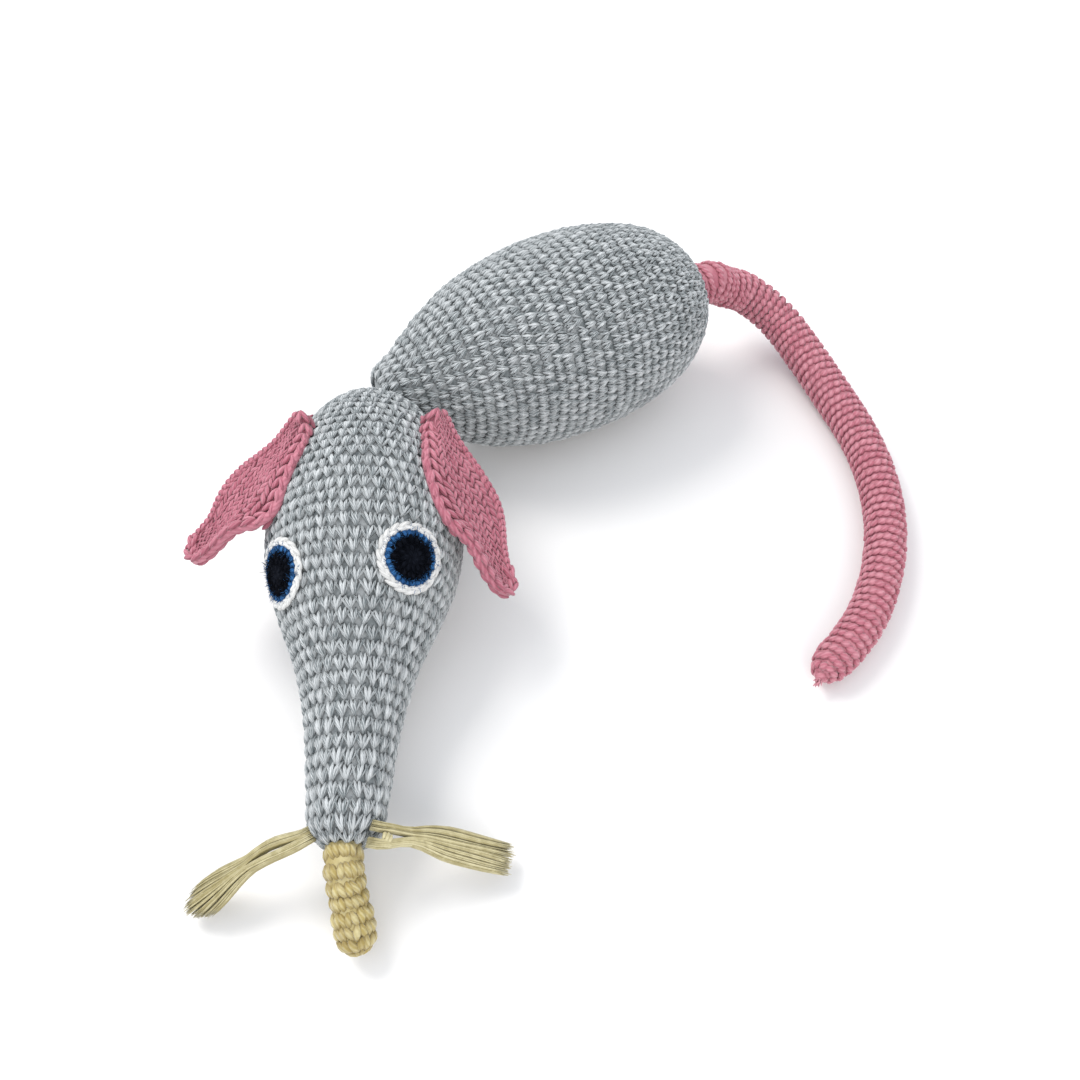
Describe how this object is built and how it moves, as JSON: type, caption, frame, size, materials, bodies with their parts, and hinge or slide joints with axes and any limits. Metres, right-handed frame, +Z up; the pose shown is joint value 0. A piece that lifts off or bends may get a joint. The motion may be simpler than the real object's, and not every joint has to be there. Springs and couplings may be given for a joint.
{
  "type": "crocheted toy mouse",
  "caption": "Stuffed, crocheted toy mouse that lies on its belly, with a long snout, sewn-on ears, eyes, nose and whiskers, and a long jointed tail.",
  "frame": {"origin": "on the surface that the toy rests on, below the middle of its bounding box", "axes": "+Z up; the toy faces -Y; its own left side is +X"},
  "size_m": [0.3264, 0.3498, 0.0963],
  "materials": {
    "grey_yarn": "soft marled grey and white yarn",
    "pink_yarn": "soft rose pink yarn",
    "straw_yarn": "straw yellow yarn",
    "yellow_yarn": "fine silky pale yellow yarn",
    "white_yarn": "matt white yarn",
    "blue_yarn": "fuzzy blue yarn",
    "black_yarn": "matt black yarn",
    "grey_thread": "grey sewing yarn",
    "filling": "loose white polyester filling"
  },
  "bodies": {
    "torso": {"body_cover": "grey_yarn", "body_filling": "filling", "tail_seam": "grey_thread"},
    "neck": {"neck_filling": "filling", "neck_seam": "grey_thread"},
    "head": {"head_cover": "grey_yarn", "head_filling": "filling", "eye_white_left": "white_yarn", "eye_blue_left": "blue_yarn", "eye_black_left": "black_yarn", "eye_white_right": "white_yarn", "eye_blue_right": "blue_yarn", "eye_black_right": "black_yarn", "ear_seam_left": "pink_yarn", "ear_seam_right": "pink_yarn", "whisker_knot_left": "yellow_yarn", "whisker_knot_right": "yellow_yarn", "nose_seam": "straw_yarn"},
    "left_ear": {"ear_left": "pink_yarn"},
    "right_ear": {"ear_right": "pink_yarn"},
    "nose": {"nose_cover": "straw_yarn", "nose_filling": "filling"},
    "left_whisker": {"whisker_left": "yellow_yarn"},
    "right_whisker": {"whisker_right": "yellow_yarn"},
    "tail_1": {"tail_cover_1": "pink_yarn", "tail_filling_1": "filling"},
    "tail_2": {"tail_cover_2": "pink_yarn", "tail_filling_2": "filling"},
    "tail_3": {"tail_cover_3": "pink_yarn", "tail_filling_3": "filling"},
    "tail_4": {"tail_cover_4": "pink_yarn", "tail_filling_4": "filling"},
    "tail_5": {"tail_cover_5": "pink_yarn", "tail_filling_5": "filling", "tail_tuft": "pink_yarn"}
  },
  "joints": [
    {"name": "neck_turn", "type": "hinge", "parent": "torso", "child": "neck", "pos_m": [-0.0734, 0.0732, 0.047], "axis": [0, 0, 1], "range_deg": [-25, 8], "stiffness_Nm_per_rad": 0.1},
    {"name": "neck_nod", "type": "hinge", "parent": "neck", "child": "head", "pos_m": [-0.0734, 0.0732, 0.047], "axis": [0.9996, 0.0297, 0], "range_deg": [-20, 0]},
    {"name": "ear_left_flap", "type": "hinge", "parent": "head", "child": "left_ear", "pos_m": [-0.0545, -0.003, 0.0775], "axis": [0.0294, -0.991, -0.1305], "range_deg": [-6, 45], "stiffness_Nm_per_rad": 0.02},
    {"name": "ear_right_flap", "type": "hinge", "parent": "head", "child": "right_ear", "pos_m": [-0.115, -0.003, 0.0775], "axis": [0.0294, -0.991, -0.1305], "range_deg": [-45, 6], "stiffness_Nm_per_rad": 0.02},
    {"name": "nose_bend", "type": "hinge", "parent": "head", "child": "nose", "pos_m": [-0.0803, -0.1445, 0.022], "axis": [0, 0, 1], "range_deg": [-25, 25], "stiffness_Nm_per_rad": 0.01},
    {"name": "whisker_left_swing", "type": "hinge", "parent": "head", "child": "left_whisker", "pos_m": [-0.06462, -0.1331, 0.02801], "axis": [0, 0, 1], "range_deg": [-25, 25], "stiffness_Nm_per_rad": 0.002},
    {"name": "whisker_right_swing", "type": "hinge", "parent": "head", "child": "right_whisker", "pos_m": [-0.09714, -0.13359, 0.02434], "axis": [0, 0, 1], "range_deg": [-25, 25], "stiffness_Nm_per_rad": 0.002},
    {"name": "tail_swing_1", "type": "hinge", "parent": "torso", "child": "tail_1", "pos_m": [0.07526, 0.15358, 0.047], "axis": [0, 0, 1], "range_deg": [-12, 20], "stiffness_Nm_per_rad": 0.02},
    {"name": "tail_swing_2", "type": "hinge", "parent": "tail_1", "child": "tail_2", "pos_m": [0.12, 0.1546, 0.0221], "axis": [0, 0, 1], "range_deg": [-12, 20], "stiffness_Nm_per_rad": 0.017},
    {"name": "tail_swing_3", "type": "hinge", "parent": "tail_2", "child": "tail_3", "pos_m": [0.1446, 0.1045, 0.0111], "axis": [0, 0, 1], "range_deg": [-12, 20], "stiffness_Nm_per_rad": 0.014},
    {"name": "tail_swing_4", "type": "hinge", "parent": "tail_3", "child": "tail_4", "pos_m": [0.1552, 0.0485, 0.01], "axis": [0, 0, 1], "range_deg": [-12, 20], "stiffness_Nm_per_rad": 0.011},
    {"name": "tail_swing_5", "type": "hinge", "parent": "tail_4", "child": "tail_5", "pos_m": [0.1453, -0.0076, 0.0093], "axis": [0, 0, 1], "range_deg": [-12, 20], "stiffness_Nm_per_rad": 0.008}
  ]
}
